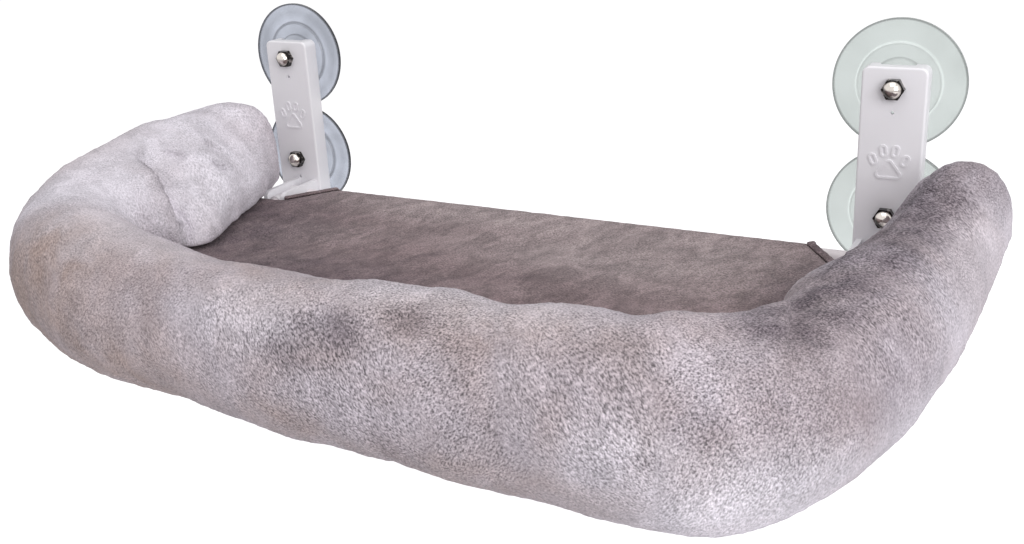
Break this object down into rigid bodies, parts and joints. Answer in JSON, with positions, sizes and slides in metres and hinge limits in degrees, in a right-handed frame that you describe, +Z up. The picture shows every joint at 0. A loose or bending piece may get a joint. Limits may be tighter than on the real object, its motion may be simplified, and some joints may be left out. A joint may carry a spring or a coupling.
{
  "type": "window mounted cat perch",
  "caption": "Cat perch that hangs on a window by suction cups: two bracket plates, a fold-up tube frame with a padded plush seat, and a stuffed bolster round three sides.",
  "frame": {"origin": "on the window pane, midway between the four suction cups", "axes": "+Y points into the glass, +X runs along the glass to the right as seen from the room, +Z is up"},
  "size_m": [0.6893, 0.3345, 0.2274],
  "materials": {
    "abs_white": "satin",
    "pvc_clear": "gloss",
    "steel_polished": "polished",
    "steel_plain": "satin",
    "frame_white": "satin",
    "nylon_white": "satin",
    "foam": "matte",
    "plush_dark": "matte",
    "cloth_under": "matte",
    "zip_tape": "matte",
    "zip_metal": "satin",
    "plush_light": "matte"
  },
  "bodies": {
    "mount": {"left_bracket": "abs_white", "right_bracket": "abs_white", "left_upper_cup": "pvc_clear", "left_lower_cup": "pvc_clear", "right_upper_cup": "pvc_clear", "right_lower_cup": "pvc_clear", "left_upper_stud": "steel_plain", "left_lower_stud": "steel_plain", "right_upper_stud": "steel_plain", "right_lower_stud": "steel_plain", "left_upper_nut": "steel_polished", "left_lower_nut": "steel_polished", "right_upper_nut": "steel_polished", "right_lower_nut": "steel_polished"},
    "perch": {"rear_tube": "frame_white", "left_tube_cap": "nylon_white", "right_tube_cap": "nylon_white", "left_knuckle": "nylon_white", "right_knuckle": "nylon_white", "left_frame_tube": "frame_white", "right_frame_tube": "frame_white", "front_tube": "frame_white", "spring_buttons": "steel_plain", "seat_foam": "foam", "seat_cover": "plush_dark", "seat_underside": "cloth_under", "zip": "zip_tape", "bolster": "plush_light"},
    "zip_slider": {"zip_slider": "zip_metal"}
  },
  "joints": [
    {"name": "fold", "type": "hinge", "parent": "mount", "child": "perch", "pos_m": [0, -0.03, -0.072], "axis": [-1, 0, 0], "range_deg": [0, 75], "deforming": ["bolster"]},
    {"name": "zip_slide", "type": "slide", "parent": "perch", "child": "zip_slider", "axis": [1, 0, 0], "range_m": [0, 0.31]}
  ]
}
